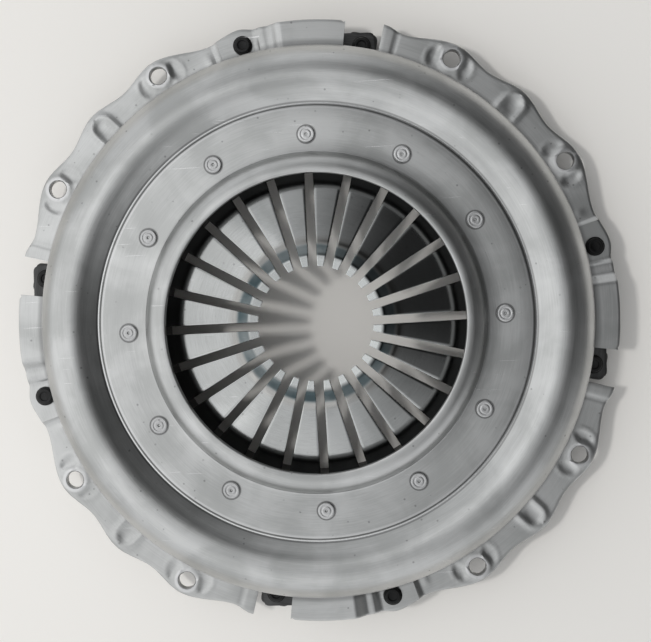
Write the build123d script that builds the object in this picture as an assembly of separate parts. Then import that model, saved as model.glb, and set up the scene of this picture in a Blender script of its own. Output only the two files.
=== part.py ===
from build123d import *
from math import cos, radians, sin, tan
import os

# Push-type clutch cover assembly with a diaphragm spring, in its free state, lying on its friction face.
# Millimetres. Z is the clutch axis, the friction face is at Z = 0 and the gearbox side is up.

# Four-fold pattern: each quarter of the clutch carries one strap bay, two bolt holes and one window.
quarters = 4
quarter_turn = 360 / quarters

# Clearances
pivot_clearance = 0.1
rivet_clearance = 0.05
strap_clearance = 0.3
ridge_clearance = 0.3
leaf_gap = 0.05
travel_clearance = 3
running_gap = 8
pocket_clearance = 4

# Plate travel, from the free state up into the cover
plate_travel = 7

# Pressed steel cover
sheet = 6
sheet_bend = 4
half_sheet = sheet / 2
flange_trim = 6
bolt_circle_radius = 225
bolt_hole_radius = 6.5
bolt_angle_1 = 30
bolt_angle_2 = 60
bolt_seat_radius = 10.5
bolt_seat_height = 0.8
bolt_head_room = 19
shoulder_inside_radius = 18
shoulder_slope = 38
shoulder_width = 43.5
groove_depth = 2
groove_bend = 1.5
groove_width = 5.5
ring_outer_margin = 19
ring_inner_margin = 13
ring_height = 42
ring_edge_bend = 1
collar_width = 9.6
collar_height = 16
collar_foot_bend = 3
collar_top_bend = 2
collar_lip = 6.9
opening_edge_radius = 2

# Flange outline: how far each lobe and hollow stands outside the bolt circle
lip_margin = 7.7
lip_hollow_margin = 3.8
bolt_lobe_margin = 11.3
bump_hollow_margin = 5.4
bump_lobe_margin = 10.2
bay_hollow_margin = 1.7
pad_margin = 13

# Angles along the flange, within one quarter, counter-clockwise from the middle rivet
lip_angle = 74.4
lip_hollow_angle = 70.2
bump_angle = 45
bump_hollow_angle = 7.4
bay_hollow_angle = 18.8
pad_start_angle = 17.3
pad_rivet_angle = 12.2
pad_end_angle = 9.1
shelf_start_angle = 5
shelf_end_angle = -8.3
window_end_angle = lip_angle - quarter_turn

# Strap bay: a low pad for the cover rivet, a ramp, and a raised shelf over the strap pack
bay_angle = (pad_start_angle + shelf_end_angle) / 2
pad_rise = 3
shelf_rise = 12
bay_bend = 3
shelf_corner = 4
cover_rivet_inset = 7

# Horseshoe bead that stiffens the flange between two bolt holes
bead_inset = 2
bead_bow_radius = 8.5
bead_radius = 3
bead_leg = 12

# Pivot rivets, pivot rings
pivot_rivets = 12
rivet_shank_radius = 5
rivet_head_radius = 6.3
rivet_head_height = 1.6
rivet_dimple_radius = 1.2
rivet_dimple_depth = 0.8
rivet_foot_radius = 12
rivet_foot_height = 5
pivot_wire = 6

# Diaphragm spring
fingers = 24
finger_turn = 360 / fingers
spring_thickness = 5
spring_wall_gap = 10
cone_angle = 11
fingertip_radius = 41.5
slot_width = 6.2
spring_window_length = 17
spring_window_width = 13
spring_window_corner = 3
crown_foot_radius = 59
crown_top_radius = 50
crown_rise = 3.5
tip_drop = 1.5
crown_foot_bend = 12
crown_top_bend = 4
spring_edge_round = 1.2

# Pressure plate casting
plate_bolt_inset = 9
plate_inner_radius = 118
rim_thickness = 16
rim_width = 22
body_thickness = 28
body_step = 4
ridge_inset = 6
ridge_width = 7
ridge_foot_width = 12
ridge_crest_radius = 3
casting_corner = 2
ribs = 24
rib_turn = 360 / ribs
rib_width = 6
rib_length = 31
rib_drop = 6

# Strap packs
leaves = 3
leaf_thickness = 1.3
leaf_width = 21
leaf_end = 11
leaf_corner = 5
leaf_flat = 16
leaf_bend = 20
strap_rivet_shank_radius = 5
strap_head_radius = 7.25
strap_head_height = 4.5
strap_head_chamfer = 1
strap_head_recess_radius = 3.6
strap_head_recess_depth = 0.8
strap_foot_radius = 8
strap_foot_height = 3.6
lug_rivet_inset = 9.5
lug_rivet_angle = -11.9
lug_wall = 0.6
lug_base = 4
lug_corner = 5
foot_gap = 1
pocket_floor = 12

# Radii that follow from the bolt circle, from the flange inwards
cover_rivet_radius = bolt_circle_radius - cover_rivet_inset
lug_rivet_radius = bolt_circle_radius - lug_rivet_inset
bead_centre_radius = bolt_circle_radius - bead_inset
wall_radius = bolt_circle_radius - bolt_head_room
groove_radius = wall_radius - shoulder_width
ring_outer_radius = groove_radius - groove_width
rivet_circle_radius = ring_outer_radius - ring_outer_margin
collar_foot_radius = rivet_circle_radius - ring_inner_margin
collar_top_radius = collar_foot_radius - collar_width
opening_radius = collar_top_radius - collar_lip
pivot_ring_radius = rivet_circle_radius + rivet_shank_radius + pivot_wire / 2 + pivot_clearance
spring_outer_radius = wall_radius - sheet - spring_wall_gap
ridge_radius = spring_outer_radius - ridge_inset
rib_inner_radius = ridge_radius - rib_length
plate_outer_radius = bolt_circle_radius - plate_bolt_inset
rim_inner_radius = plate_outer_radius - rim_width

# Radii of the flange outline
flange_blank_radius = bolt_circle_radius + bolt_lobe_margin + flange_trim
lip_radius = bolt_circle_radius + lip_margin
lip_hollow_radius = bolt_circle_radius + lip_hollow_margin
bolt_lobe_radius = bolt_circle_radius + bolt_lobe_margin
bump_hollow_radius = bolt_circle_radius + bump_hollow_margin
bump_lobe_radius = bolt_circle_radius + bump_lobe_margin
bay_hollow_radius = bolt_circle_radius + bay_hollow_margin
pad_lobe_radius = cover_rivet_radius + pad_margin
shelf_radius = cover_rivet_radius + leaf_width / 2

# Heights that follow from the stack of pieces
leaf_pitch = leaf_thickness + leaf_gap
pack_thickness = leaves * leaf_pitch
flange_bottom = rim_thickness + plate_travel + travel_clearance
flange_top = flange_bottom + sheet
ring_top = flange_top + ring_height
ring_bottom = ring_top - sheet
collar_top = ring_top + collar_height
upper_wire_z = ring_bottom - pivot_wire / 2 - pivot_clearance
cone_slope = tan(radians(cone_angle))
spring_depth = spring_thickness / cos(radians(cone_angle))
wire_offset = (pivot_wire / 2 + pivot_clearance) / cos(radians(cone_angle))
pivot_surface_z = upper_wire_z - wire_offset
lower_wire_z = pivot_surface_z - spring_depth - wire_offset
rivet_foot_top = lower_wire_z - pivot_wire / 2 - pivot_clearance
pad_bottom = flange_bottom + pad_rise
shelf_bottom = flange_bottom + shelf_rise
cover_end_z = pad_bottom - pack_thickness
plate_end_z = rim_thickness
above_all = collar_top + running_gap


def polar(radius, angle, height=0):
    """Point at a radius, an angle in degrees and a height."""
    return Vector(radius * cos(radians(angle)), radius * sin(radians(angle)), height)


def cone_z(radius):
    """Height of the spring's upper surface on its cone."""
    return pivot_surface_z + (pivot_ring_radius - radius) * cone_slope


def every_quarter(shape):
    """The shape in each quarter of the clutch."""
    return [Rot(Z=quarter_turn * k) * shape for k in range(quarters)]


def side_shift(before, after, distance):
    """Step from a corner of a sheet's surface to the same corner on the other surface."""
    first = Vector(-before.Y, before.X)
    second = Vector(-after.Y, after.X)
    return (first + second) * (distance / (1 + first.dot(second)))


def sheet_face(corners, bends, thickness):
    """Section of a bent sheet: corners of its upper surface and the inside radius of each bend.

    The sheet lies to the left of the run of corners.
    """
    points = [Vector(*corner) for corner in corners]
    runs = [(end - start).normalized() for start, end in zip(points, points[1:])]
    befores = [runs[0]] + runs
    afters = runs + [runs[-1]]
    lower = [p + side_shift(b, a, thickness) for p, b, a in zip(points, befores, afters)]
    upper_radii = []
    lower_radii = []
    for before, after, bend in zip(runs, runs[1:], bends):
        turns_left = before.cross(after).Z > 0
        upper_radii.append(bend + thickness if turns_left else bend)
        lower_radii.append(bend if turns_left else bend + thickness)
    top = FilletPolyline(*points, radius=upper_radii)
    bottom = FilletPolyline(*lower, radius=lower_radii)
    ends = [Line(points[0], lower[0]), Line(points[-1], lower[-1])]
    return make_face([top, bottom] + ends)


def ring_of(section):
    """Solid of revolution about the clutch axis from a section drawn as (radius, height)."""
    return revolve(Plane.XZ * section, axis=Axis.Z)


def sector(first_angle, last_angle, height):
    """Wedge between two angles that reaches past the flange and stands on height zero."""
    reach = flange_blank_radius / cos(radians(last_angle - first_angle))
    corners = [(0, 0), polar(reach, first_angle), polar(reach, last_angle)]
    return extrude(make_face(Polyline(*corners, close=True)), height)


# Cover

def outline_prism():
    """Prism with the flange's lobed outline."""
    stops = [
        (shelf_end_angle, shelf_radius),
        (0, shelf_radius),
        (pad_end_angle, shelf_radius),
        (pad_rivet_angle, pad_lobe_radius),
        (bay_hollow_angle, bay_hollow_radius),
        (bolt_angle_1, bolt_lobe_radius),
        (bump_angle - bump_hollow_angle, bump_hollow_radius),
        (bump_angle, bump_lobe_radius),
        (bump_angle + bump_hollow_angle, bump_hollow_radius),
        (bolt_angle_2, bolt_lobe_radius),
        (lip_hollow_angle, lip_hollow_radius),
        (lip_angle, lip_radius),
    ]
    points = [polar(r, a + quarter_turn * k) for k in range(quarters) for a, r in stops]
    return extrude(make_face(Spline(*points, periodic=True)), above_all)


def cover_dish():
    """Round part of the cover: flange blank, wall, shoulder, groove, rivet ring and collar."""
    slope = tan(radians(shoulder_slope))
    groove_z = ring_top - groove_depth
    corners = [
        (flange_blank_radius, flange_top),
        (wall_radius, flange_top),
        (wall_radius, groove_z + (wall_radius - groove_radius) * slope),
        (groove_radius, groove_z),
        (ring_outer_radius, ring_top),
        (collar_foot_radius, ring_top),
        (collar_top_radius, collar_top),
        (opening_radius, collar_top),
    ]
    bends = [sheet_bend, shoulder_inside_radius, groove_bend, ring_edge_bend,
             collar_foot_bend, collar_top_bend]
    section = sheet_face(corners, bends, sheet)
    lip = section.vertices().sort_by(Axis.X)[:2]
    return ring_of(fillet(lip, opening_edge_radius))


def bay_frame():
    """Plane across the strap bay: X runs along the flange, Y is up, and it faces outwards."""
    outwards = polar(1, bay_angle)
    return Plane(origin=(0, 0, 0), x_dir=polar(1, bay_angle + quarter_turn), z_dir=outwards)


def bay_place(angle):
    """Distance along the flange from the middle of the strap bay."""
    return bolt_circle_radius * sin(radians(angle - bay_angle))


def bay_sheet():
    """Section of the pressed pad, ramp and shelf of one strap bay."""
    pad_top = pad_bottom + sheet
    shelf_top = shelf_bottom + sheet
    corners = [
        (bay_place(pad_start_angle) + half_sheet, pad_top),
        (bay_place(pad_end_angle), pad_top),
        (bay_place(shelf_start_angle), shelf_top),
        (bay_place(shelf_end_angle), shelf_top),
    ]
    return sheet_face(corners, [bay_bend, bay_bend], sheet)


def bay_void():
    """Space under the pad, ramp and shelf, and the window beside the shelf."""
    start = bay_place(pad_start_angle)
    end = bay_place(shelf_end_angle)
    corners = [
        (start, 0),
        (start, pad_bottom + half_sheet),
        (bay_place(pad_end_angle), pad_bottom + half_sheet),
        (bay_place(shelf_start_angle), shelf_bottom + half_sheet),
        (end, shelf_bottom + half_sheet),
        (end, 0),
    ]
    under = extrude(bay_frame() * make_face(Polyline(*corners, close=True)), flange_blank_radius)
    window = sector(window_end_angle, bay_angle, shelf_bottom)
    inside = Cylinder(wall_radius - sheet - running_gap, 2 * above_all)
    return under + window - inside


def stiffening_bead():
    """Horseshoe bead, open towards the wall."""
    bow = Torus(bead_bow_radius, bead_radius)
    bow -= Pos(X=-bead_leg) * Box(2 * bead_leg, bead_leg + above_all, 2 * sheet)
    leg = Pos(X=-bead_leg / 2) * Rot(Y=90) * Cylinder(bead_radius, bead_leg)
    bead = bow + [Pos(Y=side * bead_bow_radius) * leg for side in (-1, 1)]
    return Rot(Z=bump_angle) * Pos(bead_centre_radius, 0, flange_top) * bead


def bolt_places():
    """Places of the flange bolts in one quarter."""
    return [Pos(*polar(bolt_circle_radius, angle)) for angle in (bolt_angle_1, bolt_angle_2)]


def cover():
    """Pressed steel cover."""
    outline = outline_prism()
    body = cover_dish() & outline
    body -= every_quarter(bay_void())
    bay = extrude(bay_frame() * bay_sheet(), flange_blank_radius)
    bay -= Cylinder(wall_radius - half_sheet, 2 * above_all)
    bay &= outline
    upright = bay.edges().filter_by(Axis.Z)
    shelf_end = upright.sort_by(Axis.Y)[:2]
    bay = fillet(shelf_end.sort_by(Axis.X)[-1], shelf_corner)
    body += every_quarter(bay)
    seat = Pos(Z=flange_top) * Cylinder(bolt_seat_radius, 2 * bolt_seat_height)
    raised = [place * seat for place in bolt_places()] + [stiffening_bead()]
    for piece in raised:
        body += every_quarter(piece)
    bolt_hole = Cylinder(bolt_hole_radius, 2 * above_all)
    body -= [hole for place in bolt_places() for hole in every_quarter(place * bolt_hole)]
    strap_hole = Cylinder(strap_rivet_shank_radius + rivet_clearance, 2 * above_all)
    body -= every_quarter(strap_frame() * strap_hole)
    rivet_hole = Cylinder(rivet_shank_radius + rivet_clearance, 2 * above_all)
    return body - [place * rivet_hole for place in PolarLocations(rivet_circle_radius, pivot_rivets)]


# Diaphragm spring and what it tilts on

def diaphragm_spring():
    """Dished disc whose inner part is slotted into fingers with crowned tips."""
    crown_foot_z = cone_z(crown_foot_radius)
    crown_top_z = cone_z(crown_top_radius) + crown_rise
    corners = [
        (spring_outer_radius, cone_z(spring_outer_radius)),
        (crown_foot_radius, crown_foot_z),
        (crown_top_radius, crown_top_z),
        (fingertip_radius, crown_top_z - tip_drop),
    ]
    section = sheet_face(corners, [crown_foot_bend, crown_top_bend], spring_thickness)
    edge = section.vertices().sort_by(Axis.X)
    section = fillet([edge[0], edge[1], edge[-1], edge[-2]], spring_edge_round)
    disc = ring_of(section)
    slot = Pos(X=rivet_circle_radius / 2) * Box(rivet_circle_radius, slot_width, 2 * above_all)
    window = RectangleRounded(spring_window_length, spring_window_width, spring_window_corner)
    cut = slot + Pos(X=rivet_circle_radius) * extrude(window, above_all)
    return disc - [Rot(Z=finger_turn * k) * cut for k in range(fingers)]


def pivot_ring(height):
    """Round wire ring that the spring tilts on."""
    return Pos(Z=height) * Torus(pivot_ring_radius, pivot_wire / 2)


def pivot_rivet():
    """Shouldered rivet: wide foot under the lower pivot ring, shank, formed head on the cover."""
    head_top = ring_top + rivet_head_height
    corners = [
        (0, rivet_foot_top - rivet_foot_height),
        (rivet_foot_radius, rivet_foot_top - rivet_foot_height),
        (rivet_foot_radius, rivet_foot_top),
        (rivet_shank_radius, rivet_foot_top),
        (rivet_shank_radius, ring_top),
        (rivet_head_radius, ring_top),
        (rivet_head_radius - rivet_head_height / 2, head_top),
        (rivet_dimple_radius, head_top),
        (0, head_top - rivet_dimple_depth),
    ]
    return ring_of(make_face(Polyline(*corners, close=True)))


# Drive straps and their rivets

def cover_rivet_place():
    """Centre of the first cover rivet, at height zero."""
    return polar(cover_rivet_radius, pad_rivet_angle)


def lug_rivet_place():
    """Centre of the first lug rivet, at height zero."""
    return polar(lug_rivet_radius, lug_rivet_angle)


def strap_frame(height=0):
    """Frame at the cover rivet: X runs along the strap to the plate's lug."""
    along = lug_rivet_place() - cover_rivet_place()
    return Plane(origin=cover_rivet_place() + Vector(0, 0, height), x_dir=along, z_dir=(0, 0, 1))


def lug_frame(height=0):
    """Frame at the lug rivet: X runs outwards, away from the clutch axis."""
    outwards = polar(1, lug_rivet_angle)
    return Plane(origin=lug_rivet_place() + Vector(0, 0, height), x_dir=outwards, z_dir=(0, 0, 1))


def strap_leaf(layer):
    """One leaf of a strap pack: flat at both ends, set down towards the plate in between."""
    high = cover_end_z + leaf_pitch * layer + leaf_thickness
    low = plate_end_z + leaf_pitch * layer + leaf_thickness
    leaf_hole_spacing = (lug_rivet_place() - cover_rivet_place()).length
    corners = [
        (leaf_hole_spacing + leaf_end, low),
        (leaf_hole_spacing - leaf_flat, low),
        (leaf_flat, high),
        (-leaf_end, high),
    ]
    section = sheet_face(corners, [leaf_bend, leaf_bend], leaf_thickness)
    body = extrude(Plane.XZ * section, leaf_width / 2, both=True)
    blank_length = leaf_hole_spacing + 2 * leaf_end
    blank = RectangleRounded(blank_length, leaf_width, leaf_corner)
    body &= Pos(X=leaf_hole_spacing / 2) * extrude(blank, above_all)
    hole = Cylinder(strap_rivet_shank_radius + strap_clearance, 2 * above_all)
    body -= [hole, Pos(X=leaf_hole_spacing) * hole]
    return strap_frame() * body


def strap_rivet(head_bottom, foot_top):
    """Rivet with a stepped formed head above the pack and a flat foot below."""
    head_top = head_bottom + strap_head_height
    corners = [
        (0, foot_top - strap_foot_height),
        (strap_foot_radius, foot_top - strap_foot_height),
        (strap_foot_radius, foot_top),
        (strap_rivet_shank_radius, foot_top),
        (strap_rivet_shank_radius, head_bottom),
        (strap_head_radius, head_bottom),
        (strap_head_radius, head_top - strap_head_chamfer),
        (strap_head_radius - strap_head_chamfer, head_top),
        (strap_head_recess_radius, head_top),
        (strap_head_recess_radius - strap_head_recess_depth, head_top - strap_head_recess_depth),
        (0, head_top - strap_head_recess_depth),
    ]
    return ring_of(make_face(Polyline(*corners, close=True)))


def cover_strap_rivets():
    """Rivets that hold the strap packs under the cover's pads."""
    rivet = strap_rivet(pad_bottom + sheet, cover_end_z)
    return every_quarter(strap_frame() * rivet)


def plate_strap_rivets():
    """Rivets that hold the strap packs on the plate's lugs, their feet sunk above the friction face."""
    rivet = strap_rivet(plate_end_z + pack_thickness, foot_gap + strap_foot_height)
    return every_quarter(lug_frame() * rivet)


# Pressure plate

def plate_section():
    """Section of the casting: friction ring, thin rim under the flange, and the ridge for the spring."""
    ridge_slope = ridge_width / 2 * cone_slope
    crest = cone_z(ridge_radius) - spring_depth - ridge_slope - ridge_clearance
    corners = [
        (plate_inner_radius, 0),
        (plate_outer_radius, 0),
        (plate_outer_radius, rim_thickness),
        (rim_inner_radius, rim_thickness),
        (rim_inner_radius - body_step, body_thickness),
        (ridge_radius + ridge_width / 2, crest),
        (ridge_radius - ridge_width / 2, crest),
        (ridge_radius - ridge_foot_width, body_thickness),
        (plate_inner_radius, body_thickness),
    ]
    section = make_face(Polyline(*corners, close=True))
    crest_ends = section.vertices().filter_by(lambda v: v.Y > body_thickness + casting_corner)
    section = fillet(crest_ends, ridge_crest_radius)
    rim_corner = section.vertices().filter_by(lambda v: v.X > rim_inner_radius + casting_corner and v.Y > 0)
    return fillet(rim_corner, casting_corner)


def plate_rib():
    """Radial rib that stands on the casting and props the ridge."""
    crest = cone_z(ridge_radius) - spring_depth - rib_drop
    corners = [
        (rib_inner_radius, body_thickness - casting_corner),
        (rib_inner_radius, body_thickness),
        (ridge_radius, crest),
        (ridge_radius, body_thickness - casting_corner),
    ]
    return extrude(Plane.XZ * make_face(Polyline(*corners, close=True)), rib_width / 2, both=True)


def strap_lug():
    """Lug at the rim that the strap pack is riveted to."""
    length = 2 * (leaf_end + lug_wall)
    width = leaf_width + 2 * lug_wall
    pad = extrude(RectangleRounded(2 * width, length, lug_corner), rim_thickness - lug_base)
    return lug_frame(lug_base) * Pos(X=-width / 2) * pad


def pressure_plate():
    """Cast iron pressure plate."""
    body = ring_of(plate_section())
    rib = Rot(Z=rib_turn / 2) * plate_rib()
    body += [Rot(Z=rib_turn * k) * rib for k in range(ribs)]
    body += every_quarter(strap_lug())
    pocket_radius = strap_foot_radius + pocket_clearance
    pocket = extrude(Circle(pocket_radius), above_all)
    body -= every_quarter(strap_frame(pocket_floor) * pocket)
    shank_hole = Cylinder(strap_rivet_shank_radius + rivet_clearance, 2 * above_all)
    foot_hole = Cylinder(strap_foot_radius + lug_wall, 2 * (foot_gap + strap_foot_height))
    return body - every_quarter(lug_frame() * (shank_hole + foot_hole))


def write(name, shapes):
    """One STEP file for one sub-part."""
    solids = [solid for shape in shapes for solid in shape.solids()]
    shape = solids[0] if len(solids) == 1 else Compound(children=solids)
    shape.label = name
    export_step(shape, f"parts/{name}.step")


def main():
    os.makedirs("parts", exist_ok=True)
    write("cover", [cover()])
    write("pressure_plate", [pressure_plate()])
    write("diaphragm_spring", [diaphragm_spring()])
    write("upper_pivot_ring", [pivot_ring(upper_wire_z)])
    write("lower_pivot_ring", [pivot_ring(lower_wire_z)])
    rivets = PolarLocations(rivet_circle_radius, pivot_rivets)
    write("pivot_rivets", [place * pivot_rivet() for place in rivets])
    write("cover_strap_rivets", cover_strap_rivets())
    write("plate_strap_rivets", plate_strap_rivets())
    for quarter in range(quarters):
        for layer in range(leaves):
            leaf = Rot(Z=quarter_turn * quarter) * strap_leaf(layer)
            write(f"strap_{quarter + 1}_leaf_{layer + 1}", [leaf])


main()
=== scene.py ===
import bpy
from math import asin, atan2, ceil, cos, degrees, exp, hypot, pi, radians, sin, sqrt, tan
from mathutils import Matrix, Vector


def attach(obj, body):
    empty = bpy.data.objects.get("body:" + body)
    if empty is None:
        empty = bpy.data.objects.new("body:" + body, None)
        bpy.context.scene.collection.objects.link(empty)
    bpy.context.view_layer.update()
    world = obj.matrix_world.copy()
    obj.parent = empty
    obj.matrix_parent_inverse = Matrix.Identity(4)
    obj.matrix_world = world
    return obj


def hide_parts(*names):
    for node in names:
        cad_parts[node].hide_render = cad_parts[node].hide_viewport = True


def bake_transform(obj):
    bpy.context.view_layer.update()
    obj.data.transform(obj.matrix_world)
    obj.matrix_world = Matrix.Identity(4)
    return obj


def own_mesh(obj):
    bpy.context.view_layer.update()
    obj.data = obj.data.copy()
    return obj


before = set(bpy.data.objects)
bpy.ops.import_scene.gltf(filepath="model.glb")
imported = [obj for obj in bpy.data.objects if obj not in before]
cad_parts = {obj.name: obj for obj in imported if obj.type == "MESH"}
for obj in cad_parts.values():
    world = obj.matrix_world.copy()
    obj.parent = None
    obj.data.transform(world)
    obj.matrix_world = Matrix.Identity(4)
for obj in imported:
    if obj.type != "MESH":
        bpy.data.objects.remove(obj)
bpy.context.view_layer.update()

# The clutch cover assembly lies on its friction face on a plain pale bench, in a room that darkens to the
# right. A large window lamp stands to its left, weaker ones in front and overhead, and a small key lamp
# throws the shadows. The camera looks down from just off the axis.
scene = bpy.context.scene
scene.view_settings.view_transform = "Standard"


def shader(tree, kind, inputs=None, **settings):
    """Adds a shader node; inputs are values, or sockets to be linked."""
    made = tree.nodes.new(kind)
    for key, value in settings.items():
        setattr(made, key, value)
    for key, value in (inputs or {}).items():
        if isinstance(value, bpy.types.NodeSocket):
            tree.links.new(value, made.inputs[key])
        else:
            made.inputs[key].default_value = value
    return made


def calc(tree, kind, first, second=0.0):
    """One sum on two numbers or sockets."""
    return shader(tree, "ShaderNodeMath", {0: first, 1: second}, operation=kind).outputs[0]


def fade(tree, value, low, high, start=0.0, end=1.0):
    """A smooth mask that goes from start to end while value goes from low to high."""
    ends = {"Value": value, "From Min": low, "From Max": high, "To Min": start, "To Max": end}
    return shader(tree, "ShaderNodeMapRange", ends, interpolation_type="SMOOTHSTEP").outputs[0]


def mixed(tree, share, first, second, kind="MIX"):
    """Two colours mixed by a share."""
    made = shader(tree, "ShaderNodeMix", data_type="RGBA", blend_type=kind)
    for socket, value in ((0, share), (6, first), (7, second)):
        if isinstance(value, bpy.types.NodeSocket):
            tree.links.new(value, made.inputs[socket])
        else:
            made.inputs[socket].default_value = value
    return made.outputs[2]


camera_data = bpy.data.cameras.new("camera")
camera_data.lens = 62.48
camera_data.sensor_width = 36
camera_data.clip_end = 40
camera = bpy.data.objects.new("camera", camera_data)
scene.collection.objects.link(camera)
camera_place = Vector((0.02884, 0.02048, 0.900))
looked_at = Vector((0.00564, 0.00019, 0.032))
top_of_picture = Vector((0.05373, 0.99856, 0))
line_of_sight = (looked_at - camera_place).normalized()
camera_right = line_of_sight.cross(top_of_picture).normalized()
camera_up = camera_right.cross(line_of_sight)
camera_turn = Matrix((camera_right, camera_up, -line_of_sight)).transposed().to_4x4()
camera.matrix_world = Matrix.Translation(camera_place) @ camera_turn
scene.camera = camera


def lamp(name, place, width, height, power, colour):
    """A soft rectangular studio lamp that points at the middle of the bench."""
    data = bpy.data.lights.new(name, "AREA")
    data.shape = "RECTANGLE"
    data.size = width
    data.size_y = height
    data.energy = power
    data.color = colour
    made = bpy.data.objects.new(name, data)
    made.location = place
    made.rotation_euler = (-Vector(place)).to_track_quat("-Z", "Y").to_euler()
    scene.collection.objects.link(made)
    return made


lamp("window_lamp", (-1.15, -0.05, 1.05), 1.5, 1.9, 3.6, (1.0, 0.998, 0.985))
lamp("near_lamp", (-0.45, -1.15, 1.25), 1.5, 1.0, 1.2, (1.0, 1.0, 0.99))
lamp("top_lamp", (-0.40, 0.30, 1.9), 0.8, 0.8, 1.2, (0.99, 1.0, 1.0))
key_lamp = lamp("key_lamp", (-0.77, 0.12, 1.85), 0.16, 0.16, 11.0, (1.0, 0.99, 0.97))
key_lamp.visible_glossy = False

world = bpy.data.worlds.new("room")
scene.world = world
world.use_nodes = True
sky = world.node_tree
gaze = shader(sky, "ShaderNodeTexCoord").outputs["Generated"]
lit_side = (-0.94, -0.34, 0)
across = shader(sky, "ShaderNodeVectorMath", {0: gaze, 1: lit_side}, operation="DOT_PRODUCT").outputs["Value"]
flat_gaze = shader(sky, "ShaderNodeVectorMath", {0: gaze, 1: (1, 1, 0)}, operation="MULTIPLY").outputs["Vector"]
level = shader(sky, "ShaderNodeVectorMath", {0: flat_gaze}, operation="LENGTH").outputs["Value"]
walls = fade(sky, calc(sky, "DIVIDE", across, level), -0.95, -0.30, 0.12, 0.92)
ceiling = fade(sky, across, -0.42, 0.09, 0.03, 0.78)
sideways = fade(sky, level, 0.55, 0.92)
glow = shader(sky, "ShaderNodeMix", {0: sideways, 2: ceiling, 3: walls})
sky.links.new(glow.outputs[0], sky.nodes["Background"].inputs["Strength"])
sky.nodes["Background"].inputs["Color"].default_value = (0.97, 0.985, 1.0, 1)

bench_width, bench_drop = 24, 0.0005
bpy.ops.object.select_all(action="DESELECT")
bpy.ops.mesh.primitive_plane_add(size=bench_width, location=(0, 0, -bench_drop))
bench = bpy.context.active_object
bench.name = "bench"
bench_paint = bpy.data.materials.new("bench_paint")
bench_paint.use_nodes = True
tree = bench_paint.node_tree
surface = tree.nodes["Principled BSDF"]
path = shader(tree, "ShaderNodeLightPath").outputs
seen = calc(tree, "MAXIMUM", path["Is Camera Ray"], path["Is Glossy Ray"])
paint = mixed(tree, seen, (0.42, 0.40, 0.375, 1), (0.82, 0.80, 0.77, 1))
tree.links.new(paint, surface.inputs["Base Color"])
surface.inputs["Roughness"].default_value = 0.9
surface.inputs["Specular IOR Level"].default_value = 0.1
bench.data.materials.append(bench_paint)


# Cover. A dish pressed from 6 mm steel plate: collar, flat rivet ring, groove, round shoulder, wall and
# a lobed flange with coined bolt seats. Four raised bays over the straps, four windows beside them.
# Satin mill finish, faintly oily, with drawing marks and a few rubbed scratches.
mm = 0.001
cover_steps = 720
bolt_circle, bolt_lean = 225, 15
bolt_hole_radius, bolt_hole_flare = 6.5, 1.16
pivot_circle = 138
window_start, window_angle = -15.6, 7.3
flange_foot, flange_edge = 210, 235
wall_foot_height, wall_free_height = 36, 57
cover_section = [
    (108.5, 90, 0.8, 1), (122, 90, 13, 1), (125, 74, 2, 3), (158.3, 74, 1.5, 2), (161.0, 72, 1.2, 1),
    (206, 105.99, 24, 4), (206, 32, 4, 11), (flange_edge, 32, 1.2, 1),
    (flange_edge, 26, 1.2, 7), (200, 26, 10, 2), (200, 93.68, 18, 1), (163.57, 65.23, 7.5, 1),
    (155.94, 68, 1, 2), (121.6, 68, 9, 1), (112, 84, 2, 1), (108.5, 84, 1.2, 1),
]


def rounded_section(corners, closed=True):
    """Points along a section; each rounded corner is radius, height, bend and cuts in the run after it."""
    arcs = []
    for k, (r, z, bend, cuts) in enumerate(corners):
        here = Vector((r, z))
        if bend == 0:
            arcs.append([here])
            continue
        back = (Vector(corners[k - 1][:2]) - here).normalized()
        onward = (Vector(corners[(k + 1) % len(corners)][:2]) - here).normalized()
        half = back.angle(onward) / 2
        centre = here + (back + onward).normalized() * (bend / sin(half))
        spoke = here + back * (bend / tan(half)) - centre
        last = here + onward * (bend / tan(half)) - centre
        turn = (pi - 2 * half) * (1 if spoke.x * last.y - spoke.y * last.x > 0 else -1)
        degrees_a_step = 9 if bend > 10 else 15 if bend > 2.5 else 30
        steps = max(2, ceil(abs(degrees(turn)) / degrees_a_step))
        arcs.append([centre + Matrix.Rotation(turn * i / steps, 2) @ spoke for i in range(steps + 1)])
    points = []
    for k, arc in enumerate(arcs):
        points += arc
        if k + 1 < len(arcs) or closed:
            start, end = arc[-1], arcs[(k + 1) % len(arcs)][0]
            cuts = corners[k][3]
            points += [start.lerp(end, i / cuts) for i in range(1, cuts)]
    return points


def pick_only(piece):
    """Leaves one object selected and active."""
    bpy.ops.object.select_all(action="DESELECT")
    piece.select_set(True)
    bpy.context.view_layer.objects.active = piece


def spun(name, points, steps, closed=True):
    """A piece spun about the clutch axis from a section drawn in millimetres."""
    mesh = bpy.data.meshes.new(name)
    edges = [(i, i + 1) for i in range(len(points) - 1)] + ([(len(points) - 1, 0)] if closed else [])
    mesh.from_pydata([(p[0] * mm, 0, p[1] * mm) for p in points], edges, [])
    piece = bpy.data.objects.new(name, mesh)
    scene.collection.objects.link(piece)
    pick_only(piece)
    bpy.ops.object.mode_set(mode="EDIT")
    bpy.ops.mesh.select_all(action="SELECT")
    bpy.ops.mesh.spin(steps=steps, angle=2 * pi, center=(0, 0, 0), axis=(0, 0, 1), use_auto_merge=True)
    bpy.ops.mesh.select_all(action="SELECT")
    bpy.ops.mesh.remove_doubles(threshold=1e-6)
    bpy.ops.mesh.normals_make_consistent(inside=False)
    bpy.ops.object.mode_set(mode="OBJECT")
    return piece


def ease(value, low, high):
    """0 below low, 1 above high, smooth between."""
    t = min(1, max(0, (value - low) / (high - low)))
    return t * t * (3 - 2 * t)


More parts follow.
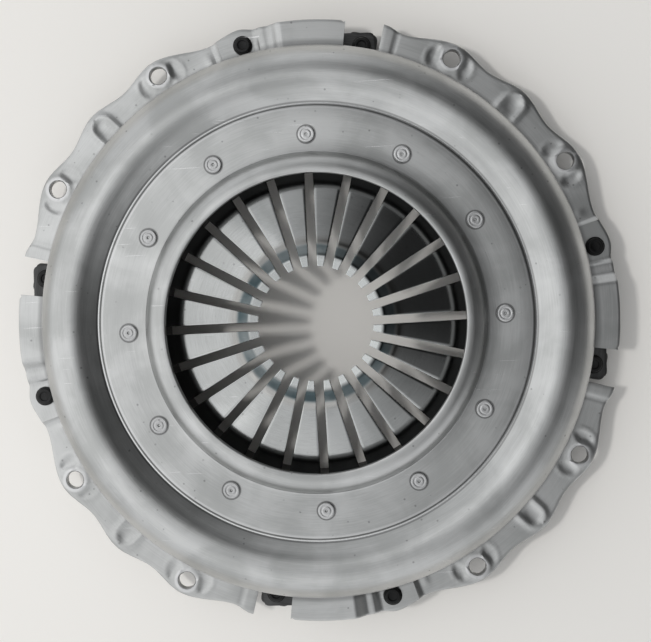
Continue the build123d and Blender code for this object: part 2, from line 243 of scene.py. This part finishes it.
flange_outline = [
    (-15.6, 232.7), (-14, 231.6), (-8.3, 228.5), (0, 228.5), (9.1, 228.5), (12.2, 231), (18.8, 226.7),
    (30, 236.3), (37.6, 230.4), (45, 235.2), (52.4, 230.4), (60, 236.3), (70.2, 228.8), (74.4, 232.7),
]
flange_corners = ((-8.3, 4), (74.4, 2.5))
corner_circle = 229


def outline_radius(angle):
    """Radius of the flange's edge at an angle within the quarter: a smooth line through the outline's stops."""
    stops = flange_outline
    slopes = [(b[1] - a[1]) / (b[0] - a[0]) for a, b in zip(stops, stops[1:])]
    leans = [0] + [0 if a * b <= 0 else 2 * a * b / (a + b) for a, b in zip(slopes, slopes[1:])] + [0]
    k = max(i for i, stop in enumerate(stops[:-1]) if angle >= stop[0] or i == 0)
    (a, p), (b, q) = stops[k], stops[k + 1]
    t = (angle - a) / (b - a)
    reach = (b - a) * (leans[k] * t * (1 - t) ** 2 - leans[k + 1] * t * t * (1 - t))
    edge = p + (q - p) * t * t * (3 - 2 * t) + reach
    for end, corner in flange_corners:
        inland = radians(abs(angle - end)) * corner_circle
        if inland < corner and (angle >= end) == (end < 0):
            edge -= corner - sqrt(corner ** 2 - (corner - inland) ** 2)
    return edge


def bay_lift(angle):
    """How far the flange is raised over the strap: shelf, two ramps down to the rivet's pad, step to the flange."""
    shelf, first_ramp, second_ramp, pad = 12, 6, 3, 3
    lift = shelf - first_ramp * ease(angle, 4.4, 6.8) - second_ramp * ease(angle, 8.2, 9.5)
    lift -= pad * ease(angle, 17.0, 17.8)
    return lift * ease(angle, -9.6, -9.0)


def coining(radius, angle):
    """Raised and sunk marks of the press tools: (through the sheet, on its upper face only)."""
    folded = abs(angle - 45)
    across = radius * cos(radians(folded)), radius * sin(radians(folded))
    bolt = bolt_circle * cos(radians(bolt_lean)), bolt_circle * sin(radians(bolt_lean))
    along = radius * radians(folded - bolt_lean)
    out = radius - bolt_circle
    seat = hypot(across[0] - bolt[0], across[1] - bolt[1])
    upper = 0.8 * (1 - ease(seat, 9.6, 11.4))
    # A dent with a raised rim on each side of the bolt seat.
    for place, depth in ((13.6, 0.7), (-13.2, 0.5)):
        dent = hypot((along - place) / 5.0, (out + 3.0) / 8.5)
        upper -= depth * (1 - ease(dent, 0.55, 1.0))
        upper += 0.35 * exp(-((dent - 1.12) / 0.16) ** 2)
    # A U-shaped bead round a shallow hollow in the middle of the lobe.
    bead_end, bead_half, bead_height = 223, 8.5, 1.1
    if across[0] > bead_end:
        bow = abs(hypot(across[1], across[0] - bead_end) - bead_half)
    else:
        bow = abs(abs(across[1]) - bead_half)
    reach = ease(across[0], 208, 214)
    through = bead_height * exp(-(bow / 2.2) ** 2) * reach
    hollow = hypot(across[1] / 6.5, (across[0] - 221) / 9)
    through -= 0.6 * (1 - ease(hollow, 0.3, 1.0)) * reach
    # A bump beyond the rivet's pad, and the crease of the end tab.
    upper += 0.6 * exp(-hypot((radius * radians(angle - 19.4)) / 2.6, (radius - 215) / 4.5) ** 2)
    through += 0.3 * ease(angle, 71.5, 72.1)
    through -= 0.4 * exp(-((angle - 71.6) / 0.35) ** 2)
    return through, upper


cover = spun("cover_pressing", rounded_section(cover_section), cover_steps)
for vertex in cover.data.vertices:
    x, y, z = (c / mm for c in vertex.co)
    radius = hypot(x, y)
    if z > wall_free_height or radius < 196:
        continue
    turn = degrees(atan2(y, x))
    angle = (turn - window_start) % 90 + window_start
    if radius > flange_foot:
        share = (radius - flange_foot) / (flange_edge - flange_foot)
        radius = flange_foot + share * (outline_radius(angle) - flange_foot)
    underside, lower_edge = z < 27, z < 31
    lift = bay_lift(angle)
    if z > wall_foot_height:
        lift *= 1 - ease(z, wall_foot_height, wall_free_height)
    if radius > 207:
        through, upper = coining(radius, angle)
        pressed = ease(radius, 207, 211)
        unraised = 1 - ease(abs(bay_lift(angle)), 0.2, 1.5)
        mark = max(through, 0) if underside else through + (0 if lower_edge else upper)
        lift += pressed * unraised * mark
    vertex.co = Vector((radius * cos(radians(turn)), radius * sin(radians(turn)), z + lift)) * mm

window_section = [(190, 10), (250, 10), (250, 64), (206.15, 64), (206.15, 38), (190, 38)]
cutters = []
for quarter in range(4):
    for bolt_angle in (45 - bolt_lean, 45 + bolt_lean):
        at = radians(bolt_angle + 90 * quarter)
        hole_x, hole_y = bolt_circle * mm * cos(at), bolt_circle * mm * sin(at)
        bpy.ops.object.select_all(action="DESELECT")
        bpy.ops.mesh.primitive_cylinder_add(vertices=48, radius=bolt_hole_radius * mm, depth=20 * mm,
                                            location=(hole_x, hole_y, 22.1 * mm))
        cutters.append(bpy.context.active_object)
        bpy.ops.object.mode_set(mode="EDIT")
        bpy.ops.mesh.select_all(action="DESELECT")
        bpy.ops.object.mode_set(mode="OBJECT")
        for face in cutters[-1].data.polygons:
            face.select = face.normal.z > 0.9
        bpy.ops.object.mode_set(mode="EDIT")
        bpy.ops.mesh.extrude_region_move(TRANSFORM_OT_translate={"value": (0, 0, 1.2 * mm)})
        bpy.ops.transform.resize(value=(bolt_hole_flare, bolt_hole_flare, 1), center_override=(hole_x, hole_y, 0))
        bpy.ops.mesh.extrude_region_move(TRANSFORM_OT_translate={"value": (0, 0, 8 * mm)})
        bpy.ops.object.mode_set(mode="OBJECT")
    start = radians(90 * quarter + window_start)
    mesh = bpy.data.meshes.new("window_cutter")
    corners = [(r * mm * cos(start), r * mm * sin(start), z * mm) for r, z in window_section]
    mesh.from_pydata(corners, [], [(0, 1, 2, 3, 4, 5)])
    cutters.append(bpy.data.objects.new("window_cutter", mesh))
    scene.collection.objects.link(cutters[-1])
    pick_only(cutters[-1])
    bpy.ops.object.mode_set(mode="EDIT")
    bpy.ops.mesh.select_all(action="SELECT")
    bpy.ops.mesh.spin(steps=4, angle=-radians(window_angle), center=(0, 0, 0), axis=(0, 0, 1))
    bpy.ops.mesh.select_all(action="SELECT")
    bpy.ops.mesh.normals_make_consistent(inside=False)
    bpy.ops.object.mode_set(mode="OBJECT")
bpy.ops.object.select_all(action="DESELECT")
for cutter in cutters:
    cutter.select_set(True)
bpy.context.view_layer.objects.active = cutters[0]
bpy.ops.object.join()
pick_only(cover)
holes = cover.modifiers.new("holes", "BOOLEAN")
holes.operation = "DIFFERENCE"
holes.solver = "EXACT"
holes.object = cutters[0]
bpy.ops.object.modifier_apply(modifier="holes")
bpy.data.objects.remove(cutters[0])
pick_only(cover)
bpy.ops.object.shade_smooth_by_angle(angle=radians(32))


def times(tree, first, second):
    """The product of two numbers or sockets."""
    return calc(tree, "MULTIPLY", first, second)


def band(tree, value, rise, fall):
    """A smooth mask that rises over one span of value and falls over a later one."""
    return times(tree, fade(tree, value, *rise), fade(tree, value, *fall, 1.0, 0.0))


def distance(tree, x, y):
    """Length of the line from the middle to a place x, y."""
    return calc(tree, "SQRT", calc(tree, "ADD", times(tree, x, x), times(tree, y, y)))


def noise(tree, where, scale, detail=3.0, stretch=(1, 1, 1), turn=0.0, distortion=0.0):
    """Mottling at a scale in metres, stretched and turned to make it run one way."""
    lay = {"Vector": where, "Scale": stretch, "Rotation": (0, 0, radians(turn))}
    laid = shader(tree, "ShaderNodeMapping", lay).outputs[0]
    grain = {"Vector": laid, "Scale": 1 / scale, "Detail": detail, "Distortion": distortion}
    return shader(tree, "ShaderNodeTexNoise", grain).outputs["Fac"]


def polar_place(tree):
    """Radius from the clutch axis, angle about it, height and the plain place, all in metres and radians."""
    place = shader(tree, "ShaderNodeTexCoord").outputs["Object"]
    split = shader(tree, "ShaderNodeSeparateXYZ", {"Vector": place}).outputs
    flat = shader(tree, "ShaderNodeCombineXYZ", {"X": split["X"], "Y": split["Y"]}).outputs[0]
    radius = shader(tree, "ShaderNodeVectorMath", {0: flat}, operation="LENGTH").outputs["Value"]
    angle = calc(tree, "ARCTAN2", split["Y"], split["X"])
    return radius, angle, split["Z"], place


def grey(level, tint=(1, 1, 1)):
    """A grey of one level, each channel times its tint."""
    return tuple(level * t for t in tint) + (1,)


def tinted(tree, mask, share, colour, tone):
    """A colour with a share of another tone where the mask is 1."""
    return mixed(tree, times(tree, mask, share), colour, tone)


def recolour(tree, surface, colour, rough):
    """Puts a colour and a roughness on the surface."""
    tree.links.new(colour, surface.inputs["Base Color"])
    tree.links.new(rough, surface.inputs["Roughness"])


def worked_steel(name, dark, light, roughness, metallic=1.0, grain=0.00006, run=0.35, speck=0.5,
                 drawn_share=0.08):
    """Bare worked steel: mottled tone, fine marks round the axis, crossed scratches, specks and a faint grain."""
    finish = bpy.data.materials.new(name)
    finish.use_nodes = True
    tree = finish.node_tree
    surface = tree.nodes["Principled BSDF"]
    surface.inputs["Metallic"].default_value = metallic
    radius, angle, height, place = polar_place(tree)
    across_marks = 60.0
    round_place = shader(tree, "ShaderNodeCombineXYZ", {
        "X": times(tree, radius, across_marks), "Y": angle, "Z": times(tree, height, across_marks)}).outputs[0]
    cloud = noise(tree, place, 0.045, 4.0, distortion=0.4)
    drawn = noise(tree, round_place, 0.045, 4.0, stretch=(1, 0.35, 1))
    fine = noise(tree, round_place, 0.012, 2.0, stretch=(1, 0.12, 1))
    scratches = None
    for turn, scale, edge in ((24, 0.009, 0.77), (-58, 0.008, 0.775), (81, 0.010, 0.77)):
        streaks = noise(tree, place, scale, 1.0, stretch=(0.16, 6.5, 1), turn=turn)
        lines = fade(tree, streaks, edge, edge + 0.03)
        scratches = lines if scratches is None else calc(tree, "MAXIMUM", scratches, lines)
    dots = shader(tree, "ShaderNodeTexVoronoi", {"Vector": place, "Scale": 260.0, "Randomness": 1.0}).outputs
    pick = shader(tree, "ShaderNodeSeparateColor", {"Color": dots["Color"]}).outputs[0]
    specks = times(tree, fade(tree, pick, 0.93, 0.97), fade(tree, dots["Distance"], 0.16, 0.26, 1.0, 0.0))
    tone = calc(tree, "ADD", times(tree, cloud, 0.75), times(tree, drawn, 0.25))
    colour = mixed(tree, fade(tree, tone, 0.36, 0.64), dark, light)
    marks = times(tree, fade(tree, fine, 0.42, 0.68), run)
    colour = mixed(tree, marks, colour, grey(0.78, (1, 1, 0.99)), "MULTIPLY")
    colour = tinted(tree, scratches, 0.35, colour, grey(0.80))
    colour = tinted(tree, specks, speck, colour, grey(0.13))
    rough = calc(tree, "ADD", roughness - drawn_share / 2, times(tree, drawn, drawn_share))
    rough = calc(tree, "SUBTRACT", rough, times(tree, scratches, 0.10))
    pores = noise(tree, place, 0.0011, 2.0)
    relief = calc(tree, "ADD", times(tree, fine, 0.5), times(tree, pores, 0.5))
    relief = calc(tree, "SUBTRACT", relief, times(tree, scratches, 0.4))
    bump = shader(tree, "ShaderNodeBump", {"Height": relief, "Distance": grain, "Strength": 0.6})
    tree.links.new(bump.outputs["Normal"], surface.inputs["Normal"])
    recolour(tree, surface, colour, rough)
    return finish, tree, surface, colour, rough, (radius, angle, height, place)


cover_steel, tree, surface, colour, rough, (radius, angle, height, _) = worked_steel(
    "cover_steel", grey(0.41, (0.99, 1.0, 0.985)), grey(0.54, (0.995, 1.0, 0.99)), 0.34, run=0.14)

# Bolt seats, rubbed bright by the bolts' washers.
quarter_share = calc(tree, "FRACT", calc(tree, "ADD", calc(tree, "DIVIDE", angle, pi / 2), 4.0))
from_lobe = calc(tree, "ABSOLUTE", times(tree, calc(tree, "SUBTRACT", quarter_share, 0.5), pi / 2))
seat_x = calc(tree, "SUBTRACT", times(tree, radius, calc(tree, "COSINE", from_lobe)),
              bolt_circle * mm * cos(radians(bolt_lean)))
seat_y = calc(tree, "SUBTRACT", times(tree, radius, calc(tree, "SINE", from_lobe)),
              bolt_circle * mm * sin(radians(bolt_lean)))
seat = distance(tree, seat_x, seat_y)
rubbed = times(tree, fade(tree, seat, 0.0085, 0.0105, 1.0, 0.0), fade(tree, height, 0.0318, 0.0325))
colour = tinted(tree, rubbed, 0.7, colour, grey(0.66))

# Inner face: painted shade, near black, on the downward faces inside the dish, which are also made duller.
normal = shader(tree, "ShaderNodeTexCoord").outputs["Normal"]
facing = shader(tree, "ShaderNodeSeparateXYZ", {"Vector": normal}).outputs["Z"]
inside = times(tree, fade(tree, facing, -0.45, -0.15, 1.0, 0.0), fade(tree, radius, 0.185, 0.195, 1.0, 0.0))
colour = mixed(tree, inside, colour, grey(0.07))
rough = calc(tree, "ADD", rough, times(tree, inside, 0.15))

# Painted highlights and painted shade along the groove, where the rivet ring meets the shoulder: two bright lines
# of painted highlight, on the ring's edge and on the groove's fillet, and two dark lines of painted shade in the
# crease.
upper_face = fade(tree, height, 0.0695, 0.0705)
for low, high, share, tone in ((0.1570, 0.1583, 0.45, 0.66), (0.1587, 0.1596, 0.55, 0.10),
                               (0.1600, 0.1609, 0.8, 0.85), (0.1613, 0.1624, 0.55, 0.10)):
    painted_groove_line = band(tree, radius, (low - 0.0003, low + 0.0002), (high - 0.0002, high + 0.0003))
    colour = tinted(tree, times(tree, painted_groove_line, upper_face), share, colour, grey(tone))

# Painted shade: a dark ring round each pivot rivet's head, where it sits in its recess, one rivet every twelfth of
# a turn.
from_rivet = calc(tree, "FRACT", calc(tree, "ADD", calc(tree, "DIVIDE", angle, pi / 6), 12.5))
from_rivet = times(tree, calc(tree, "SUBTRACT", from_rivet, 0.5), pi / 6)
rivet_x = calc(tree, "SUBTRACT", times(tree, radius, calc(tree, "COSINE", from_rivet)), pivot_circle * mm)
rivet_y = times(tree, radius, calc(tree, "SINE", from_rivet))
painted_shade_ring = band(tree, distance(tree, rivet_x, rivet_y), (0.0058, 0.0062), (0.0069, 0.0076))
colour = tinted(tree, times(tree, painted_shade_ring, upper_face), 0.7, colour, grey(0.09))

# Painted shade in the corner at the wall's foot, and on the inner face of the opening's lip.
painted_shade_wall_foot = band(tree, radius, (0.2085, 0.2095), (0.2115, 0.2150))
painted_shade_wall_foot = times(tree, painted_shade_wall_foot, fade(tree, facing, 0.3, 0.6))
colour = tinted(tree, painted_shade_wall_foot, 0.5, colour, grey(0.13))
painted_shade_lip = times(tree, fade(tree, radius, 0.1087, 0.1090, 1.0, 0.0), fade(tree, facing, 0.3, 0.6, 1.0, 0.0))
colour = tinted(tree, painted_shade_lip, 0.8, colour, grey(0.10))
recolour(tree, surface, colour, rough)
cover.data.materials.append(cover_steel)
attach(cover, "cover_assembly")
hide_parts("cover")

# Diaphragm spring. One dished disc of 5 mm spring steel, slotted into 24 fingers with a window at the
# root of each slot. Hardened, peened and oiled; the crowned tips are heat tinted where they were hardened.
finger_count = 24
spring_thickness = 5
slot_half = 3.1
root_start, root_end, root_half, root_corner = 129.5, 146.5, 6.5, 3
spring_top = rounded_section([(190, 53.21, 0, 3), (59, 78.67, 12, 10), (50, 83.92, 5, 3), (41.5, 83.3, 0, 1)],
                             closed=False)
finger_rows = [
    41.5, 42, 43, 44.2, 45.6, 47, 48.4, 49.6, 50.8, 52.2, 53.8, 55.4, 57, 58.6, 60.4, 62.4, 65, 69, 74, 80,
    86, 92, 98, 104, 110, 116, 122, 129.4, 129.6, 130, 130.6, 131.4, 132.5, 135, 138, 141, 143.5, 144.6,
    145.4, 146, 146.4, 147.2, 152, 160, 170, 180, 190,
]


def slot_side(radius):
    """Distance from the middle of a slot to its side, with the rounded window at its root."""
    if radius < root_start:
        return slot_half
    if radius > root_end:
        return 0
    inland = min(radius - root_start, root_end - radius)
    if inland >= root_corner:
        return root_half
    return root_half - root_corner + sqrt(root_corner ** 2 - (root_corner - inland) ** 2)


def spring_height(radius):
    """Height of the spring's upper face."""
    for outer, inner in zip(spring_top, spring_top[1:]):
        if inner[0] <= radius <= outer[0] + 1e-6:
            share = (radius - inner[0]) / max(1e-9, outer[0] - inner[0])
            return inner[1] + (outer[1] - inner[1]) * share
    return spring_top[-1][1]


bpy.ops.object.select_all(action="DESELECT")
bpy.ops.mesh.primitive_grid_add(x_subdivisions=len(finger_rows) - 1, y_subdivisions=8, size=2)
spring = bpy.context.active_object
spring.name = "diaphragm_spring_disc"
for vertex in spring.data.vertices:
    row = round((vertex.co.x + 1) / 2 * (len(finger_rows) - 1))
    reach = finger_rows[row]
    half = pi / finger_count - (0 if slot_side(reach) == 0 else asin(slot_side(reach) / reach))
    turn = half * vertex.co.y
    vertex.co = Vector((reach * cos(turn), reach * sin(turn), spring_height(reach))) * mm
fingers = [spring]
for k in range(1, finger_count):
    finger = bpy.data.objects.new("finger", spring.data.copy())
    finger.data.transform(Matrix.Rotation(2 * pi * k / finger_count, 4, "Z"))
    scene.collection.objects.link(finger)
    fingers.append(finger)
for finger in fingers:
    finger.select_set(True)
bpy.context.view_layer.objects.active = spring
bpy.ops.object.join()
spring.data.transform(Matrix.Rotation(pi / finger_count, 4, "Z"))
bpy.ops.object.mode_set(mode="EDIT")
bpy.ops.mesh.select_all(action="SELECT")
bpy.ops.mesh.remove_doubles(threshold=2e-6)
bpy.ops.object.mode_set(mode="OBJECT")
if sum(face.normal.z for face in spring.data.polygons) < 0:
    spring.data.flip_normals()


def thickened(piece, thickness, bevel, sharpest, even=False):
    """Gives a sheet its thickness below its face, and rounds its edges."""
    sheet = piece.modifiers.new("sheet", "SOLIDIFY")
    sheet.thickness = thickness * mm
    sheet.offset = -1
    sheet.use_even_offset = even
    bpy.ops.object.modifier_apply(modifier="sheet")
    edge = piece.modifiers.new("edge", "BEVEL")
    edge.width = bevel * mm
    edge.segments = 2
    edge.limit_method = "ANGLE"
    edge.angle_limit = radians(sharpest)
    bpy.ops.object.modifier_apply(modifier="edge")


thickened(spring, spring_thickness, 0.7, 50, even=True)
bpy.ops.object.shade_smooth_by_angle(angle=radians(32))

spring_steel, tree, surface, colour, rough, (radius, _, _, place) = worked_steel(
    "spring_steel", grey(0.37, (0.98, 1.0, 0.985)), grey(0.45, (0.985, 1.0, 0.99)), 0.11, run=0.16, speck=0.35,
    drawn_share=0.03, grain=0.00002)
tint = band(tree, radius, (0.0480, 0.0505), (0.0560, 0.0600))
tint = times(tree, tint, calc(tree, "ADD", 0.45, noise(tree, place, 0.02, 2.0)))
colour = tinted(tree, tint, 0.88, colour, (0.060, 0.083, 0.090, 1))
straw = band(tree, radius, (0.0570, 0.0590), (0.0600, 0.0660))
colour = tinted(tree, straw, 0.30, colour, (0.22, 0.19, 0.16, 1))
worn = fade(tree, radius, 0.0465, 0.0490, 1.0, 0.0)
colour = tinted(tree, worn, 0.7, colour, grey(0.62, (0.97, 1.0, 0.99)))
rough = calc(tree, "ADD", rough, times(tree, worn, 0.14))
recolour(tree, surface, colour, rough)
spring.data.materials.append(spring_steel)
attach(spring, "cover_assembly")
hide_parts("diaphragm_spring")
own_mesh(spring)

# Pivot rings. Two rings of 6 mm drawn steel wire, one above and one below the spring, that it tilts on.
# The rivets' shoulders hold them; they keep the plain round shape of the wire.
pivot_wire = worked_steel("pivot_wire", grey(0.36), grey(0.46), 0.34, run=0.3)[0]
for name in ("upper_pivot_ring", "lower_pivot_ring"):
    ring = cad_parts[name]
    ring.data.materials.clear()
    ring.data.materials.append(pivot_wire)

# Pivot rivets. Twelve shouldered steel rivets, their heads spun over on the cover: a low dome with the
# rings and the centre mark of the spinning tool, silver against the darker sheet.
rivet_section = [
    (0, 45.4, 0, 1), (12, 45.4, 0.6, 1), (12, 50.4, 0.6, 1), (5, 50.4, 0, 1), (5, 73.9, 0, 1), (6.3, 73.9, 0, 1),
    (6.3, 74.9, 0.6, 1), (5.6, 75.5, 0.5, 1), (4.4, 75.5, 0.2, 1), (4.1, 75.3, 0.2, 1), (3.4, 75.33, 0.2, 1),
    (2.8, 75.5, 0.25, 1), (1.1, 75.5, 0.1, 1), (0.8, 74.0, 0.1, 1), (0, 73.9, 0, 1),
]


def formed_rivets(name, section, places, steps=40):
    """Rivets spun from one section in millimetres and set at their places, as one piece."""
    pattern = spun(name, rounded_section(section, closed=False), steps, closed=False)
    copies = []
    for x, y, turn in places[1:]:
        rivet = bpy.data.objects.new(name, pattern.data.copy())
        rivet.data.transform(Matrix.Translation((x * mm, y * mm, 0)) @ Matrix.Rotation(turn, 4, "Z"))
        scene.collection.objects.link(rivet)
        copies.append(rivet)
    pattern.data.transform(Matrix.Translation((places[0][0] * mm, places[0][1] * mm, 0)))
    pick_only(pattern)
    for rivet in copies:
        rivet.select_set(True)
    bpy.ops.object.join()
    bpy.ops.object.shade_smooth_by_angle(angle=radians(30))
    return pattern


def around(radius, first, count):
    """Places evenly round the clutch, each turned a little differently."""
    angles = [radians(first + 360 / count * k) for k in range(count)]
    return [(radius * cos(a), radius * sin(a), 2.4 * k) for k, a in enumerate(angles)]


pivot_rivets = formed_rivets("pivot_rivet_set", rivet_section, around(pivot_circle, 0, 12))
rivet_steel = worked_steel("rivet_steel", grey(0.44), grey(0.60), 0.36, run=0.2)[0]
pivot_rivets.data.materials.append(rivet_steel)
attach(pivot_rivets, "cover_assembly")
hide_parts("pivot_rivets")

# Strap rivets. Black phosphated rivets with a stepped head, four through the cover's pads and four
# through the lugs of the plate; each has a flat foot under the strap pack.
pad_circle, pad_angle, pad_height, pad_foot = 218, 12.2, 35, 24.95
lug_circle, lug_angle, lug_height, lug_foot = 215.5, -11.9, 20.05, 4.6
black_rivet = worked_steel("black_rivet", grey(0.012), grey(0.03), 0.42, metallic=0.75, run=0.2, speck=0.0)[0]


def strap_rivet_section(head, foot):
    """Section of a strap rivet whose head rests at one height and whose foot ends at another."""
    return [
        (0, foot - 3.6, 0, 1), (8, foot - 3.6, 0.5, 1), (8, foot, 0.4, 1), (5, foot, 0, 1), (5, head, 0, 1),
        (7.25, head, 0, 1), (7.25, head + 2.6, 0.5, 1), (6.2, head + 2.9, 0.3, 1), (6.0, head + 3.9, 0.4, 1),
        (5.4, head + 4.5, 0.5, 1), (3.7, head + 4.5, 0.3, 1), (3.2, head + 3.7, 0.4, 1), (0, head + 3.7, 0, 1),
    ]


cover_rivets = formed_rivets("cover_strap_rivet_set", strap_rivet_section(pad_height, pad_foot),
                             around(pad_circle, pad_angle, 4))
cover_rivets.data.materials.append(black_rivet)
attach(cover_rivets, "cover_assembly")
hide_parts("cover_strap_rivets")
plate_rivets = formed_rivets("plate_strap_rivet_set", strap_rivet_section(lug_height, lug_foot),
                             around(lug_circle, lug_angle, 4))
plate_rivets.data.materials.append(black_rivet)
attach(plate_rivets, "plate_assembly")
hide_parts("plate_strap_rivets")

# Drive straps. Four packs of three spring steel leaves, riveted to the cover's pad at one end and to a
# lug of the plate at the other, so that they drive the plate and bend as it slides.
leaf_half, leaf_overhang, leaf_corner, leaf_flat = 10.5, 11, 5, 14
leaf_height, leaf_drop, leaf_thickness, leaf_spacing = 26.25, 8.95, 1.3, 1.35
cover_end = Vector((pad_circle * cos(radians(pad_angle)), pad_circle * sin(radians(pad_angle)), 0))
lug_end = Vector((lug_circle * cos(radians(lug_angle)), lug_circle * sin(radians(lug_angle)), 0))
strap_run = (lug_end - cover_end).length
strap_turn = atan2(lug_end.y - cover_end.y, lug_end.x - cover_end.x)
strap_steel = worked_steel("strap_steel", grey(0.05), grey(0.11), 0.42, run=0.4, speck=0.0)[0]
bpy.ops.object.select_all(action="DESELECT")
bpy.ops.mesh.primitive_grid_add(x_subdivisions=64, y_subdivisions=8, size=2)
leaf = bpy.context.active_object
for vertex in leaf.data.vertices:
    along = strap_run / 2 + vertex.co.x * (strap_run / 2 + leaf_overhang)
    inland = min(along + leaf_overhang, strap_run + leaf_overhang - along)
    half = leaf_half
    if inland < leaf_corner:
        half -= leaf_corner - sqrt(leaf_corner ** 2 - (leaf_corner - inland) ** 2)
    drop = leaf_drop * ease(along, leaf_flat, strap_run - leaf_flat)
    vertex.co = Vector((along, vertex.co.y * half, leaf_height - drop)) * mm
if leaf.data.polygons[0].normal.z < 0:
    leaf.data.flip_normals()
thickened(leaf, leaf_thickness, 0.2, 60)
bpy.ops.object.shade_smooth_by_angle(angle=radians(30))
leaf.data.transform(Matrix.Translation(cover_end * mm) @ Matrix.Rotation(strap_turn, 4, "Z"))
leaf.data.materials.append(strap_steel)
for quarter in range(4):
    turn = Matrix.Rotation(radians(90 * quarter), 4, "Z")
    for layer in range(3):
        copy = bpy.data.objects.new(f"strap_{quarter + 1}_spring_leaf_{layer + 1}", leaf.data.copy())
        copy.data.transform(Matrix.Translation((0, 0, leaf_spacing * layer * mm)) @ turn)
        scene.collection.objects.link(copy)
        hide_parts(f"strap_{quarter + 1}_leaf_{layer + 1}")
        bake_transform(copy)
bpy.data.objects.remove(leaf)

# Pressure plate. A heavy iron casting with ribs and a ridge for the spring, rough as cast and dark;
# only its friction face is ground, with fine rings round the axis.
plate_iron, tree, surface, colour, rough, (radius, angle, height, _) = worked_steel(
    "plate_iron", grey(0.075, (1, 0.98, 0.96)), grey(0.15, (1, 0.985, 0.97)), 0.62, metallic=0.8, grain=0.00035,
    run=0.1, speck=0.6)
ground = fade(tree, height, 0.0002, 0.0004, 1.0, 0.0)
ring_place = shader(tree, "ShaderNodeCombineXYZ", {"X": times(tree, radius, 30.0), "Y": times(tree, angle, 0.02)})
rings = noise(tree, ring_place.outputs[0], 0.02, 4.0)
colour = mixed(tree, ground, colour, mixed(tree, rings, grey(0.34), grey(0.50)))
rough = calc(tree, "SUBTRACT", rough, times(tree, ground, 0.28))
recolour(tree, surface, colour, rough)
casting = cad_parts["pressure_plate"]
casting.data.materials.clear()
casting.data.materials.append(plate_iron)
